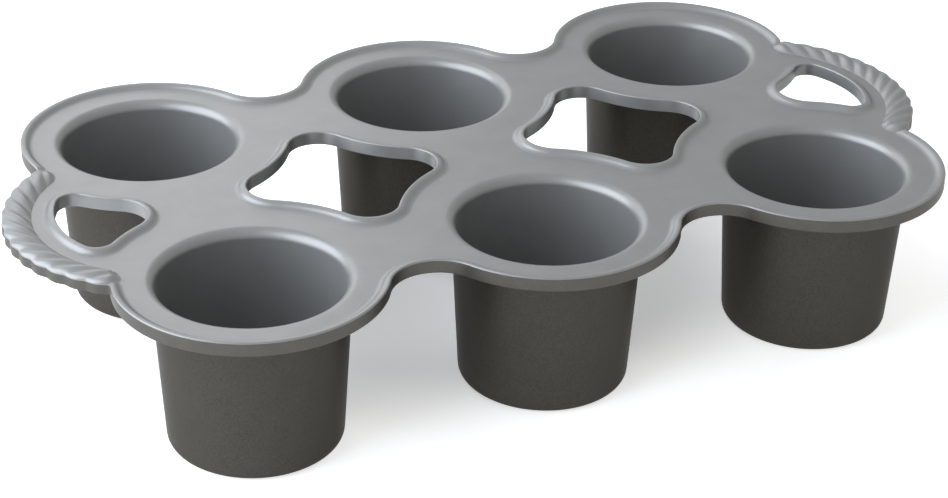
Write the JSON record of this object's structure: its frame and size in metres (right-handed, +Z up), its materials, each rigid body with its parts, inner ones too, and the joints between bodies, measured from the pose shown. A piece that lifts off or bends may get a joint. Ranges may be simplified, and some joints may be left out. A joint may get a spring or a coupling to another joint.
{
  "type": "popover pan",
  "caption": "Cast popover pan: deep round cups hung in a flat scalloped deck with raised beads, open windows and a rope-twist grip at each end.",
  "frame": {"origin": "on the surface that the pan stands on, under the middle of the deck", "axes": "+X along the pan from grip to grip, +Y across it from the front row of cups to the back row, +Z up, out of the cups' mouths"},
  "size_m": [0.4032, 0.2342, 0.0731],
  "materials": {
    "deck_casting": "satin",
    "cup_casting": "satin, fine cast grain"
  },
  "bodies": {
    "root": {"deck": "deck_casting", "rim_front": "deck_casting", "rim_back": "deck_casting", "window_rim_left": "deck_casting", "window_rim_right": "deck_casting", "finger_rim_left": "deck_casting", "finger_rim_right": "deck_casting", "cup_front_left": "cup_casting", "cup_front_middle": "cup_casting", "cup_front_right": "cup_casting", "cup_back_left": "cup_casting", "cup_back_middle": "cup_casting", "cup_back_right": "cup_casting", "grip_left": "deck_casting", "grip_right": "deck_casting"}
  },
  "joints": []
}
